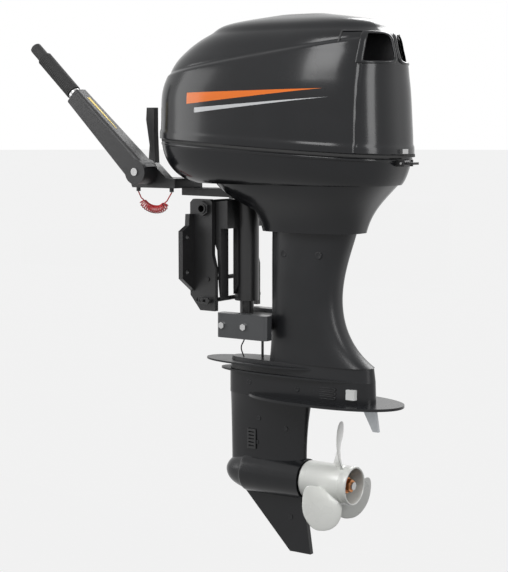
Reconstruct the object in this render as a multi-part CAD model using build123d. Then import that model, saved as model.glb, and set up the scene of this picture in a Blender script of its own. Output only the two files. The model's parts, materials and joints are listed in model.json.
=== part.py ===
from build123d import *
import math
import os

# Outboard motor, tiller steered, short shaft. Millimetres.
# X points aft, Y to starboard, Z up. The origin is the centre of the transom bolt pattern,
# on the plane where the clamp brackets meet the transom.

os.makedirs("parts", exist_ok=True)

# ---------------------------------------------------------------- driving sizes
RUN = 0.3                    # clearance between pieces of different bodies
SEAT = 0.05                  # gap between pieces that are bolted or pressed together
SHAFT_FIT = 0.05             # radial running clearance of a shaft in its bore

COWL_FRONT, COWL_AFT = -105.0, 505.0     # engine cover, along X
COWL_HALF_WIDTH = 165.0
COWL_TOP = 535.0
COWL_WALL = 4.0
SEAM_FRONT_Z, SEAM_AFT_Z = 262.0, 226.0  # the seam falls towards the stern
SEAL_HEIGHT = 6.0
PAN_BOTTOM = 163.0
PAN_WALL = 5.0
APRON_BOTTOM = 57.0
APRON_WALL = 4.0

LEG_FRONT, LEG_AFT = 176.0, 382.0        # upper case at its top
LEG_WAIST_AFT = 346.0
LEG_HALF_WIDTH = 46.0
LEG_WALL = 6.0
LEG_JOINT_Z = -270.0                     # upper case meets gearcase
FOOT_FRONT, FOOT_AFT = 54.0, 436.0
FOOT_TOP = -238.0

PLATE_Z = -322.0                         # anti-ventilation plate
PLATE_THICK = 6.0
PLATE_AFT, PLATE_HALF_WIDTH = 504.0, 92.0
STRUT_AFT, STRUT_HALF_WIDTH = 272.0, 30.0
PROP_AXIS_Z = -507.0
TORPEDO_R, TORPEDO_NOSE = 48.0, 42.0
TORPEDO_AFT = 262.0
SKEG_BOTTOM, SKEG_THICK = -680.0, 12.0

PROP_RADIUS, PROP_HUB_R, PROP_HUB_LENGTH = 141.0, 44.0, 124.0
PROP_BLADES, BLADE_PITCH, BLADE_THICK = 3, 300.0, 5.0
PROP_SHAFT_R = 11.0

STEER_X, STEER_R = 95.0, 16.0            # steering shaft
SWIVEL_R, SWIVEL_TOP, SWIVEL_BOTTOM = 28.0, 126.0, -108.0
TILT_X, TILT_Z, TILT_R = 40.0, 105.0, 11.0
BRACKET_Y, BRACKET_THICK = 78.0, 12.0    # inner face of each clamp bracket, and its web
BRACKET_TOP, BRACKET_BOTTOM, BRACKET_DEPTH = 126.0, -128.0, 62.0
FLANGE_WIDTH, FLANGE_THICK = 44.0, 12.0
BOLT_SPACING_Y, BOLT_SPACING_Z, BOLT_R = 232.0, 80.0, 6.0

TILLER_Y, TILLER_X, TILLER_Z = -112.0, -125.0, 186.0   # fold pivot of the tiller
TILLER_ANGLE, TILLER_ARM, TILLER_LENGTH = 42.0, 262.0, 440.0
TILLER_HALF_WIDTH, GRIP_R = 24.0, 18.0

CRANK_X = 215.0                          # crankshaft and driveshaft axis
DRIVESHAFT_R = 9.0
PINION_TEETH, GEAR_TEETH = 13, 24

SCREW_R = 4.0


# ---------------------------------------------------------------- helpers
def oval(z, front, aft, half_width, power=2.8, points=24):
    """Closed superellipse at height z, between front and aft, as a face."""
    centre, half = (front + aft) / 2, (aft - front) / 2
    ring = []
    for i in range(points):
        angle = 2 * math.pi * (i + 0.5) / points
        c, s = math.cos(angle), math.sin(angle)
        x = centre + half * math.copysign(abs(c) ** (2 / power), c)
        y = half_width * math.copysign(abs(s) ** (2 / power), s)
        ring.append((x, y, z))
    return Face(Wire([Spline(*ring, periodic=True)]))


def stack(rows, inset=0.0, power=2.8):
    """Loft through rows of (z, front, aft, half_width), each drawn in by inset."""
    return loft([oval(z, f + inset, a - inset, w - inset, power) for z, f, a, w in rows])


def rod(start, end, radius):
    """Solid cylinder from point start to point end."""
    run = Vector(*end) - Vector(*start)
    return Solid.make_cylinder(radius, run.length, Plane(origin=start, z_dir=run))


def block(x0, x1, y0, y1, z0, z1, corner=0.0):
    """Box between two corners, with its upright edges rounded where corner is given."""
    made = Pos((x0 + x1) / 2, (y0 + y1) / 2, (z0 + z1) / 2) * Box(x1 - x0, y1 - y0, z1 - z0)
    if corner:
        made = fillet(made.edges().filter_by(Axis.Z), corner)
    return made


def profile(points, y0, y1):
    """Prism between y0 and y1, of an outline in X and Z."""
    face = Face(Wire.make_polygon([(x, y0, z) for x, z in points], close=True))
    return extrude(face, amount=y1 - y0, dir=(0, 1, 0))


def keep(name, *shapes):
    """Write the solids of one node to its STEP file."""
    solids = [solid for shape in shapes for solid in shape.solids()]
    export_step(Compound(solids) if len(solids) > 1 else solids[0], f"parts/{name}.step")


def seam_z(x):
    """Height of the sloping seam at x."""
    share = (x - COWL_FRONT) / (COWL_AFT - COWL_FRONT)
    return SEAM_FRONT_Z + share * (SEAM_AFT_Z - SEAM_FRONT_Z)


def wedge(low, high, x0=COWL_FRONT - 60, x1=COWL_AFT + 60, half=COWL_HALF_WIDTH + 60):
    """Slab between two offsets from the sloping seam, wide enough to cut the covers."""
    return profile([(x0, seam_z(x0) + low), (x1, seam_z(x1) + low),
                    (x1, seam_z(x1) + high), (x0, seam_z(x0) + high)], -half, half)


# ---------------------------------------------------------------- covers
COWL_ROWS = [            # height, front, aft, half width
    (205.0, COWL_FRONT, COWL_AFT, COWL_HALF_WIDTH),
    (300.0, COWL_FRONT + 1, COWL_AFT - 3, COWL_HALF_WIDTH - 2),
    (390.0, COWL_FRONT + 10, COWL_AFT - 9, COWL_HALF_WIDTH - 10),
    (450.0, COWL_FRONT + 50, COWL_AFT - 17, COWL_HALF_WIDTH - 28),
    (495.0, COWL_FRONT + 123, COWL_AFT - 40, COWL_HALF_WIDTH - 54),
    (522.0, COWL_FRONT + 195, COWL_AFT - 95, COWL_HALF_WIDTH - 88),
    (COWL_TOP, COWL_FRONT + 300, COWL_AFT - 190, 28.0),
]
INTAKE = dict(x0=COWL_AFT - 62, x1=COWL_AFT + 30, y0=7.0, y1=112.0, z0=424.0, z1=488.0)


def cowl_inside(gap=0.0):
    """Solid that fills the engine cover, held off its wall by gap."""
    top = COWL_ROWS[-1]
    rows = [*COWL_ROWS[:-1], (COWL_TOP - COWL_WALL - gap, top[1], top[2], top[3] + COWL_WALL)]
    return stack(rows, COWL_WALL + gap)


def top_cowl():
    shell = stack(COWL_ROWS) - cowl_inside()
    shell -= wedge(-200, SEAL_HEIGHT / 2)
    for side in (-1, 1):
        shell -= block(INTAKE["x0"] + COWL_WALL, INTAKE["x1"],
                       *sorted((side * INTAKE["y0"], side * INTAKE["y1"])),
                       INTAKE["z0"], INTAKE["z1"])
    return shell


def intake_duct():
    """Air box behind each intake opening, glued inside the engine cover and open towards the stern."""
    room = cowl_inside(SEAT)
    boxes = []
    for side in (-1, 1):
        y0, y1 = sorted((side * (INTAKE["y0"] - 6), side * (INTAKE["y1"] + 3)))
        outer = block(INTAKE["x0"] - 40, INTAKE["x1"], y0, y1, INTAKE["z0"] - 5, INTAKE["z1"] + 5)
        inner = block(INTAKE["x0"] - 37, INTAKE["x1"] + 1, y0 + 3, y1 - 3, INTAKE["z0"] - 2,
                      INTAKE["z1"] + 2)
        boxes += ((outer & room) - inner).solids()
    return boxes


def seal():
    band = stack(COWL_ROWS[:2], 1.0) - stack(COWL_ROWS[:2], 9.0)
    return band & wedge(-SEAL_HEIGHT / 2 + RUN, SEAL_HEIGHT / 2 - RUN)


PAN_ROWS = [
    (275.0, COWL_FRONT + 2, COWL_AFT - 2, COWL_HALF_WIDTH - 2),
    (232.0, COWL_FRONT + 6, COWL_AFT - 6, COWL_HALF_WIDTH - 6),
    (200.0, COWL_FRONT + 22, COWL_AFT - 12, COWL_HALF_WIDTH - 14),
    (PAN_BOTTOM, COWL_FRONT + 80, COWL_AFT - 26, COWL_HALF_WIDTH - 40),
]
PAN_FLOOR = 6.0


def bottom_cowl():
    inner = PAN_ROWS[:-1] + [(PAN_BOTTOM + PAN_FLOOR,
                              *[COWL_FRONT + 76, COWL_AFT - 24, COWL_HALF_WIDTH - 36])]
    shell = stack(PAN_ROWS) - stack(inner, PAN_WALL)
    shell -= wedge(-SEAL_HEIGHT / 2, 200)
    shell -= block(LEG_FRONT - 40, LEG_AFT + 20, -60, 60, PAN_BOTTOM - 1, PAN_BOTTOM + PAN_FLOOR + 1)
    return shell


APRON_ROWS = [
    (PAN_BOTTOM - SEAT, 40.0, 470.0, 122.0),
    (140.0, 66.0, 448.0, 112.0),
    (100.0, 122.0, 418.0, 84.0),
    (APRON_BOTTOM, 152.0, 402.0, 66.0),
]


def apron():
    """Flared cover that hangs below the pan and hides the top of the leg."""
    shell = stack(APRON_ROWS) - stack(APRON_ROWS, APRON_WALL)
    pocket = block(0, STEER_X + 76, -78, 78, APRON_BOTTOM - 5, PAN_BOTTOM + 5)
    return shell - pocket


LATCH_X, LATCH_Z = COWL_AFT + 6.0, 212.0


def latch_bracket():
    """Two ears under the pan's rim at the stern, which carry the latch pin."""
    ears = [block(COWL_AFT - 9, LATCH_X + 6, y, y + 4, LATCH_Z - 7, LATCH_Z + 7) for y in (-20.0, 16.0)]
    room = stack(PAN_ROWS, -SEAT)
    ears = [e - room for e in ears]
    pin = rod((LATCH_X, -24, LATCH_Z), (LATCH_X, 24, LATCH_Z), 2.5)
    return [e - rod((LATCH_X, -25, LATCH_Z), (LATCH_X, 25, LATCH_Z), 2.5 + SEAT) for e in ears], pin


def latch_lever():
    """Over-centre lever that turns on the latch pin and pulls the cover down."""
    hub = rod((LATCH_X, -15, LATCH_Z), (LATCH_X, 15, LATCH_Z), 6)
    arm = block(LATCH_X + 3, LATCH_X + 24, -12, 12, LATCH_Z - 3, LATCH_Z + 2)
    return (hub + arm) - rod((LATCH_X, -25, LATCH_Z), (LATCH_X, 25, LATCH_Z), 2.5 + SHAFT_FIT)


def latch_hook():
    """Catch riveted to the engine cover above the latch."""
    room = stack(COWL_ROWS, -SEAT)
    plate = block(COWL_AFT - 14, COWL_AFT + 4, -12, 12, seam_z(COWL_AFT) + 6, seam_z(COWL_AFT) + 16)
    return plate - room


# ---------------------------------------------------------------- leg and gearcase
LEG_TOP = PAN_BOTTOM - 5
LEG_ROWS = [
    (LEG_TOP, LEG_FRONT + 4, LEG_AFT + 10, LEG_HALF_WIDTH + 4),
    (APRON_BOTTOM, LEG_FRONT, LEG_AFT, LEG_HALF_WIDTH),
    (-30.0, LEG_FRONT, LEG_WAIST_AFT + 8, LEG_HALF_WIDTH - 1),
    (-105.0, LEG_FRONT, LEG_WAIST_AFT, LEG_HALF_WIDTH - 2),
    (-170.0, LEG_FRONT - 2, LEG_WAIST_AFT + 18, LEG_HALF_WIDTH - 3),
    (FOOT_TOP, LEG_FRONT - 10, FOOT_AFT - 4, LEG_HALF_WIDTH - 5),
]
FOOT_ROWS = [
    (FOOT_TOP, FOOT_FRONT + 6, FOOT_AFT - 4, LEG_HALF_WIDTH - 7),
    (LEG_JOINT_Z, FOOT_FRONT, FOOT_AFT, LEG_HALF_WIDTH - 4),
]
SPLASH_THICK = 4.0


def plate(z, front, aft, half_width, thick, power=2.2):
    """Flat oval plate with its lower face at z."""
    return extrude(oval(z, front, aft, half_width, power), amount=thick, dir=(0, 0, 1))


def upper_case():
    case = stack(LEG_ROWS) + stack(FOOT_ROWS)
    case += plate(FOOT_TOP - 12, -12, 330, 62, SPLASH_THICK)
    case += plate(LEG_JOINT_Z, 28, FOOT_AFT - 6, 54, SPLASH_THICK)
    cavity = stack([(LEG_TOP + 1, *LEG_ROWS[0][1:]), *LEG_ROWS[1:5], (FOOT_TOP, *LEG_ROWS[4][1:])],
                   LEG_WALL)
    shaft_tunnel = rod((CRANK_X, 0, LEG_JOINT_Z - 1), (CRANK_X, 0, 0), DRIVESHAFT_R + 9)
    exhaust_way = block(CRANK_X + 40, LEG_WAIST_AFT - 10, -24, 24, LEG_JOINT_Z - 1, FOOT_TOP + 1)
    return case - cavity - shaft_tunnel - exhaust_way


CASE_TOP = LEG_JOINT_Z - SEAT
BORE_R, BORE_FRONT = 34.0, 150.0
INLET_X, INLET_Z, INLET_W, INLET_H, INLET_DEPTH = 128.0, -425.0, 24.0, 46.0, 3.0


def gearcase():
    upper = stack([(CASE_TOP, FOOT_FRONT, FOOT_AFT, LEG_HALF_WIDTH - 4),
                   (PLATE_Z, FOOT_FRONT, FOOT_AFT + 2, LEG_HALF_WIDTH - 4)])
    strut = stack([(PLATE_Z, FOOT_FRONT, STRUT_AFT, LEG_HALF_WIDTH - 5),
                   (PLATE_Z - 55, FOOT_FRONT, STRUT_AFT - 8, STRUT_HALF_WIDTH),
                   (PROP_AXIS_Z + 20, FOOT_FRONT + 2, STRUT_AFT - 12, STRUT_HALF_WIDTH)], power=2.2)
    vents = plate(PLATE_Z, 112, PLATE_AFT, PLATE_HALF_WIDTH, PLATE_THICK)
    nose = [(TORPEDO_NOSE, 0), (TORPEDO_NOSE + 6, 0.34), (TORPEDO_NOSE + 24, 0.66),
            (TORPEDO_NOSE + 60, 0.93)]
    curve = Spline(*[(x, 0, PROP_AXIS_Z + r * TORPEDO_R) for x, r in nose],
                   (TORPEDO_NOSE + 110, 0, PROP_AXIS_Z + TORPEDO_R),
                   tangents=((0, 0, 1), (1, 0, 0)))
    outline = Wire([curve, *Polyline((TORPEDO_NOSE + 110, 0, PROP_AXIS_Z + TORPEDO_R),
                                     (TORPEDO_AFT, 0, PROP_AXIS_Z + TORPEDO_R - 2),
                                     (TORPEDO_AFT, 0, PROP_AXIS_Z),
                                     (TORPEDO_NOSE, 0, PROP_AXIS_Z)).edges()])
    torpedo = revolve(Face(outline), Axis((0, 0, PROP_AXIS_Z), (1, 0, 0)))
    skeg = profile([(FOOT_FRONT + 22, PROP_AXIS_Z - 26), (TORPEDO_AFT - 8, PROP_AXIS_Z - 26),
                    (TORPEDO_AFT + 14, SKEG_BOTTOM), (TORPEDO_AFT - 42, SKEG_BOTTOM)],
                   -SKEG_THICK / 2, SKEG_THICK / 2)
    case = upper + strut + vents + torpedo + skeg
    case -= rod((BORE_FRONT, 0, PROP_AXIS_Z), (TORPEDO_AFT + 1, 0, PROP_AXIS_Z), BORE_R)
    case -= rod((CRANK_X, 0, PROP_AXIS_Z), (CRANK_X, 0, CASE_TOP + 1), DRIVESHAFT_R + 7)
    case -= rod((BORE_FRONT - 25, 0, PROP_AXIS_Z), (BORE_FRONT + 1, 0, PROP_AXIS_Z),
                PROP_SHAFT_R + SHAFT_FIT)
    for side in (-1, 1):
        y0, y1 = sorted((side * (STRUT_HALF_WIDTH - INLET_DEPTH), side * (STRUT_HALF_WIDTH + 12)))
        case -= block(INLET_X - INLET_W / 2, INLET_X + INLET_W / 2, y0, y1, INLET_Z - INLET_H / 2,
                      INLET_Z + INLET_H / 2)
    return case - rod((TAB_X, 0, PLATE_Z - 1), (TAB_X, 0, PLATE_Z + 20), SCREW_R)


TAB_X, TAB_DEPTH = 420.0, 56.0


def water_inlets():
    """Slotted grille let into each side of the strut."""
    made = []
    for side in (-1, 1):
        y0, y1 = sorted((side * (STRUT_HALF_WIDTH - INLET_DEPTH + SEAT), side * (STRUT_HALF_WIDTH - 0.4)))
        grille = block(INLET_X - INLET_W / 2 + SEAT, INLET_X + INLET_W / 2 - SEAT, y0, y1,
                       INLET_Z - INLET_H / 2 + SEAT, INLET_Z + INLET_H / 2 - SEAT)
        for row in range(5):
            z = INLET_Z - INLET_H / 2 + 7 + row * 8
            grille -= block(INLET_X - 8, INLET_X + 8, -60, 60, z - 1.5, z + 1.5)
        made.append(grille)
    return made


def trim_tab():
    """Sacrificial zinc fin under the plate, held by a screw from above."""
    top = PLATE_Z - SEAT
    fin = profile([(TAB_X - 12, top - 5), (TAB_X + 22, top - 5), (TAB_X + 30, top - TAB_DEPTH),
                   (TAB_X + 16, top - TAB_DEPTH)], -4, 4)
    pad = rod((TAB_X, 0, top - 6), (TAB_X, 0, top), 13)
    screw = rod((TAB_X, 0, top), (TAB_X, 0, PLATE_Z + 18), SCREW_R - SEAT)
    return fin + pad + screw


# ---------------------------------------------------------------- propeller and drive
HUB_FRONT = TORPEDO_AFT + 3
HUB_AFT = HUB_FRONT + PROP_HUB_LENGTH
HUB_WALL, CORE_R, CORE_AFT = 5.0, 21.0, HUB_AFT - 22
BLADE_X = HUB_FRONT + 80
BLADE_CHORDS = [(PROP_HUB_R * 0.55, 60.0, 9.0), (70.0, 98.0, 7.0), (100.0, 112.0, BLADE_THICK),
                (124.0, 88.0, 4.0), (PROP_RADIUS, 30.0, 2.5)]   # radius, chord, thickness


def propeller():
    axis = Pos(0, 0, PROP_AXIS_Z)
    barrel = rod((HUB_FRONT, 0, 0), (HUB_AFT, 0, 0), PROP_HUB_R) - rod((HUB_FRONT - 1, 0, 0),
            (HUB_AFT + 1, 0, 0), PROP_HUB_R - HUB_WALL)
    core = rod((HUB_FRONT, 0, 0), (CORE_AFT, 0, 0), CORE_R)
    sections = []
    for radius, chord, thick in BLADE_CHORDS:
        turn = math.atan(BLADE_PITCH / (2 * math.pi * radius))
        lie = Plane(origin=(BLADE_X, 0, radius), x_dir=(-math.sin(turn), math.cos(turn), 0),
                    z_dir=(0, 0, 1))
        lens = [(math.cos(a) * chord / 2,
                 math.sin(a) * thick / 2) for a in [math.pi * k / 6 for k in range(12)]]
        sections.append((lie * Polygon(*lens, align=None)).face())
    blade = loft(sections, ruled=True) - rod((HUB_FRONT - 50, 0, 0), (HUB_AFT + 50, 0, 0),
                                             PROP_HUB_R - HUB_WALL / 2)
    wheel = barrel + core
    for i in range(PROP_BLADES):
        turn = 360 / PROP_BLADES * i
        wheel += Rot(turn, 0, 0) * blade
        wheel += Rot(turn + 60, 0, 0) * block(HUB_FRONT + 8, CORE_AFT - 8, -3, 3, CORE_R - 1,
                                              PROP_HUB_R - HUB_WALL + 1)
    return axis * (wheel - rod((HUB_FRONT - 1, 0, 0), (CORE_AFT + 1, 0, 0), CORE_R - 4))


def shaft_piece(x0, x1, outer, bore):
    """Ring on the propeller shaft's axis."""
    ring = rod((x0, 0, PROP_AXIS_Z), (x1, 0, PROP_AXIS_Z), outer)
    return ring - rod((x0 - 1, 0, PROP_AXIS_Z), (x1 + 1, 0, PROP_AXIS_Z), bore) if bore else ring


MESH_GAP = 0.5
GEAR_R, PINION_R = 26.4, 26.4 * PINION_TEETH / GEAR_TEETH
FACE_SHARE = 0.62                          # inner end of the bevel face, as a share of the outer radius


def bevel_gear(side):
    """Bevel wheel on the propeller axis, ahead of (-1) or behind (+1) the pinion."""
    outer = CRANK_X + side * (PINION_R + MESH_GAP)
    inner = CRANK_X + side * (PINION_R * FACE_SHARE + MESH_GAP)
    cone = Solid.make_cone(GEAR_R, GEAR_R * FACE_SHARE, abs(outer - inner),
                           Plane(origin=(outer, 0, PROP_AXIS_Z), z_dir=(-side, 0, 0)))
    back = rod((outer, 0, PROP_AXIS_Z), (outer + side * 7, 0, PROP_AXIS_Z), GEAR_R)
    return (cone + back) - rod((outer - 60, 0, PROP_AXIS_Z), (outer + 60, 0, PROP_AXIS_Z),
                               PROP_SHAFT_R + (SEAT if side < 0 else RUN))


def pinion():
    low, high = PROP_AXIS_Z + GEAR_R * FACE_SHARE + MESH_GAP, PROP_AXIS_Z + GEAR_R + MESH_GAP
    cone = Solid.make_cone(PINION_R * FACE_SHARE, PINION_R, high - low, Plane(origin=(CRANK_X, 0, low)))
    back = rod((CRANK_X, 0, high), (CRANK_X, 0, high + 8), PINION_R)
    return (cone + back) - rod((CRANK_X, 0, low - 1), (CRANK_X, 0, high + 9), DRIVESHAFT_R - 2 + SEAT)


def driveshaft():
    low = PROP_AXIS_Z + GEAR_R * FACE_SHARE + MESH_GAP
    shoulder = PROP_AXIS_Z + GEAR_R + MESH_GAP + 8 + SEAT
    return rod((CRANK_X, 0, low), (CRANK_X, 0, shoulder), DRIVESHAFT_R - 2) + rod(
        (CRANK_X, 0, shoulder), (CRANK_X, 0, CRANK_BOTTOM), DRIVESHAFT_R)


CRANK_BOTTOM = 182.0


# ---------------------------------------------------------------- clamp brackets and swivel
def clamp_bracket(side):
    """Cast bracket on one side: an upright web, and a flange that bolts to the transom."""
    inner, outer = side * BRACKET_Y, side * (BRACKET_Y + BRACKET_THICK)
    web = profile([(0, BRACKET_BOTTOM + 34), (0, BRACKET_TOP - 8), (8, BRACKET_TOP),
                   (BRACKET_DEPTH - 6, BRACKET_TOP),
                   (BRACKET_DEPTH, BRACKET_TOP - 6), (BRACKET_DEPTH, 0), (BRACKET_DEPTH + 8, -30),
                   (BRACKET_DEPTH + 8, BRACKET_BOTTOM), (28, BRACKET_BOTTOM)], *sorted((inner, outer)))
    far = side * (BRACKET_Y + BRACKET_THICK + FLANGE_WIDTH)
    near = side * (BRACKET_Y + 1)
    flange = Face(Wire.make_polygon([(0, near, BRACKET_TOP - 34),
                                     (0, side * (BRACKET_Y + 30), BRACKET_TOP - 34),
                                     (0, side * (BRACKET_Y + 32), 66), (0, far, 54), (0, far, -54),
                                     (0, near, BRACKET_BOTTOM + 36)], close=True))
    made = web + extrude(flange, amount=FLANGE_THICK, dir=(1, 0, 0))
    for z in (-BOLT_SPACING_Z / 2, BOLT_SPACING_Z / 2):
        y = side * BOLT_SPACING_Y / 2
        made -= rod((-1, y, z), (FLANGE_THICK + 1, y, z), BOLT_R)
    for x, z in (*TRIM_HOLES, (TIE_X, TIE_Z)):
        made -= rod((x, side * 60, z), (x, side * 110, z), ROD_R + SEAT)
    return made - rod((TILT_X, side * 60, TILT_Z), (TILT_X, side * 110, TILT_Z), TILT_R + SEAT)


ROD_R = 5.0
TRIM_HOLES = [(22.0, -104.0), (40.0, -106.0), (58.0, -104.0)]
TIE_X, TIE_Z = 50.0, -56.0
WEB_OUT = BRACKET_Y + BRACKET_THICK


def tilt_tube():
    """Tube through the tops of both brackets, with a nut on each end."""
    tube = rod((TILT_X, -WEB_OUT - 12, TILT_Z), (TILT_X, WEB_OUT + 12, TILT_Z), TILT_R)
    tube -= rod((TILT_X, -WEB_OUT - 20, TILT_Z), (TILT_X, WEB_OUT + 20, TILT_Z), TILT_R - 3)
    nuts = []
    for side in (-1, 1):
        y0, y1 = sorted((side * (WEB_OUT + SEAT), side * (WEB_OUT + 9)))
        flats = Plane(origin=(TILT_X, y0, TILT_Z), z_dir=(0, 1, 0)) * RegularPolygon(TILT_R + 6, 6)
        nuts.append(extrude(flats, amount=y1 - y0, dir=(0, 1, 0)) - rod((TILT_X, y0 - 1, TILT_Z),
                (TILT_X, y1 + 1, TILT_Z), TILT_R + SEAT))
    return tube, nuts


def trim_rod():
    """Trim angle rod through one pair of holes, with its bail outside the port bracket."""
    x, z = TRIM_HOLES[2]
    straight = rod((x, -WEB_OUT - 14, z), (x, WEB_OUT + 6, z), ROD_R)
    head = rod((x, WEB_OUT + SEAT, z), (x, WEB_OUT + 6, z), ROD_R + 4)
    bail = [rod((x - 26, -WEB_OUT - 10, z + 5 * s), (x, -WEB_OUT - 10, z + 5 * s), 2) for s in (-1, 1)]
    end = rod((x - 26, -WEB_OUT - 10, z - 7), (x - 26, -WEB_OUT - 10, z + 7), 2)
    return straight + head + bail[0] + bail[1] + end


def tie_rod():
    """Spacer bar between the brackets, riveted over outside each."""
    return rod((TIE_X, -WEB_OUT - 3, TIE_Z), (TIE_X, WEB_OUT + 3, TIE_Z), ROD_R)


CHEEK_IN, CHEEK_OUT = 46.0, BRACKET_Y - 2.0


def swivel_bracket():
    """Casting that tilts on the tilt tube and carries the steering shaft."""
    barrel = rod((STEER_X, 0, SWIVEL_BOTTOM), (STEER_X, 0, SWIVEL_TOP), SWIVEL_R)
    yoke = rod((TILT_X, -CHEEK_OUT, TILT_Z), (TILT_X, CHEEK_OUT, TILT_Z), TILT_R + 8)
    cheeks = profile([(TILT_X - 12, TILT_Z - 10), (TILT_X, TILT_Z + 12), (STEER_X, SWIVEL_TOP - 2),
                      (STEER_X, -70),
                      (74, -104), (70, -70), (66, 10)], -CHEEK_OUT, CHEEK_OUT)
    cheeks -= block(0, STEER_X - 14, -CHEEK_IN, CHEEK_IN, -120, TILT_Z - 22)
    cheeks -= block(76, 200, 34, 90, -120, 60) + block(76, 200, -90, -34, -120, 60)
    made = barrel + yoke + cheeks
    made -= rod((TILT_X, -90, TILT_Z), (TILT_X, 90, TILT_Z), TILT_R + SHAFT_FIT)
    return made - rod((STEER_X, 0, SWIVEL_BOTTOM - 1), (STEER_X, 0, SWIVEL_TOP + 1), STEER_R + 4)


def swivel_bushes():
    """Plastic sleeve at each end of the swivel's bore."""
    made = []
    for end, inward in ((SWIVEL_TOP, -1), (SWIVEL_BOTTOM, 1)):
        z0, z1 = sorted((end, end + inward * 30))
        sleeve = rod((STEER_X, 0, z0), (STEER_X, 0, z1), STEER_R + 4 - SEAT)
        made.append(sleeve - rod((STEER_X, 0, z0 - 1), (STEER_X, 0, z1 + 1), STEER_R + SHAFT_FIT))
    return made


# ---------------------------------------------------------------- steering yoke and rubber mounts
ARM_Z0, ARM_Z1 = SWIVEL_TOP + RUN, SWIVEL_TOP + 22.0
LOWER_Z0, LOWER_Z1 = -188.0, -132.0
MOUNT_Y = LEG_HALF_WIDTH + 12.0


def steering_yoke():
    """Steering shaft with its arm: the arm reaches aft to the upper mounts and forward to the tiller bracket."""
    shaft = rod((STEER_X, 0, LOWER_Z0 + 8), (STEER_X, 0, ARM_Z1 - 4), STEER_R)
    arm = block(STEER_X - 34, STEER_X + 64, -34, 34, ARM_Z0, ARM_Z1, 16)
    forward = profile([(-70, ARM_Z0 + 4), (STEER_X, ARM_Z0 + 2), (STEER_X, ARM_Z1), (-70, ARM_Z1)], -30, 18)
    return shaft + arm + forward


def lower_yoke():
    """Casting clamped to the foot of the steering shaft, between the two lower mounts."""
    body = block(STEER_X - 22, STEER_X + 60, -MOUNT_Y + 8, MOUNT_Y - 8, LOWER_Z0 + 14, LOWER_Z1 - 8, 8)
    return body - rod((STEER_X, 0, LOWER_Z0), (STEER_X, 0, LOWER_Z1), STEER_R + SEAT)


def mount_covers():
    """Two halves of the lower mount housing on each side of the leg, bolted over the rubber."""
    made = []
    for side in (-1, 1):
        y0, y1 = sorted((side * (MOUNT_Y - 8 + SEAT), side * (MOUNT_Y + 20)))
        cover = block(STEER_X - 30, LEG_FRONT + 26, y0, y1, LOWER_Z0, LOWER_Z1, 8)
        cover -= block(LEG_FRONT - 34, LEG_FRONT + 14, *sorted((side * 40, side * (MOUNT_Y + 8))),
                       LOWER_Z0 + 10, LOWER_Z1 - 10)
        made.append(cover)
    return made


def rubber_mounts():
    """Rubber blocks between the covers and the leg, below, and between the arm and the leg, above."""
    made = []
    for side in (-1, 1):
        y0, y1 = sorted((side * (MOUNT_Y - 8 + SEAT), side * (MOUNT_Y + 8 - SEAT)))
        made.append(block(LEG_FRONT - 34 + SEAT, LEG_FRONT + 14 - SEAT, y0, y1, LOWER_Z0 + 10 + SEAT,
                          LOWER_Z1 - 10 - SEAT))
        made.append(rod((STEER_X + 64 + SEAT, side * 20, (ARM_Z0 + ARM_Z1) / 2),
                        (LEG_FRONT - SEAT, side * 20, (ARM_Z0 + ARM_Z1) / 2), 10))
    return made


# ---------------------------------------------------------------- powerhead
GUIDE_TOP = PAN_BOTTOM + PAN_FLOOR + 6
BLOCK_AFT, BLOCK_TOP = 400.0, 398.0
CYLINDER_R, CYLINDER_ZS = 33.0, (238.0, 340.0)
FLYWHEEL_R, FLYWHEEL_Z = 92.0, 408.0


def exhaust_guide():
    made = block(140, 398, -56, 56, LEG_TOP + SEAT, GUIDE_TOP, 10)
    return made - rod((CRANK_X, 0, LEG_TOP), (CRANK_X, 0, GUIDE_TOP + 1), DRIVESHAFT_R + 6)


def cylinder_block():
    made = block(158, BLOCK_AFT, -68, 68, GUIDE_TOP + SEAT, BLOCK_TOP, 12)
    made -= rod((CRANK_X, 0, GUIDE_TOP), (CRANK_X, 0, BLOCK_TOP + 1), 12)
    for z in CYLINDER_ZS:
        made -= rod((CRANK_X, 0, z), (BLOCK_AFT + 1, 0, z), CYLINDER_R)
        made -= rod((CRANK_X, 0, z - 24), (CRANK_X, 0, z + 24), 46)
    return made


def cylinder_head():
    made = block(BLOCK_AFT + SEAT, 432, -60, 60, 192, 386, 8)
    for z in CYLINDER_ZS:
        made -= rod((BLOCK_AFT, 0, z), (440, 0, z), 7)
        made -= rod((BLOCK_AFT, 0, z), (BLOCK_AFT + 12, 0, z), CYLINDER_R - 4)
    return made


def pistons():
    """Two pistons at rest near the top of their bores."""
    made = []
    for z in CYLINDER_ZS:
        crown = rod((330, 0, z), (392, 0, z), CYLINDER_R - SHAFT_FIT)
        made.append(crown - rod((325, 0, z), (382, 0, z), CYLINDER_R - 5))
    return made


def spark_plugs():
    return [rod((BLOCK_AFT + 2, 0, z), (446, 0, z), 7 - SEAT) + rod((432 + SEAT, 0, z), (444, 0, z),
            11) for z in CYLINDER_ZS]


def crankshaft():
    """Crankshaft with round webs, above the driveshaft's splined end."""
    made = rod((CRANK_X, 0, CRANK_BOTTOM + SEAT), (CRANK_X, 0, FLYWHEEL_Z + 34), 12 - SHAFT_FIT)
    for z in CYLINDER_ZS:
        made += rod((CRANK_X, 0, z - 20), (CRANK_X, 0, z + 20), 40)
    return made


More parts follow.
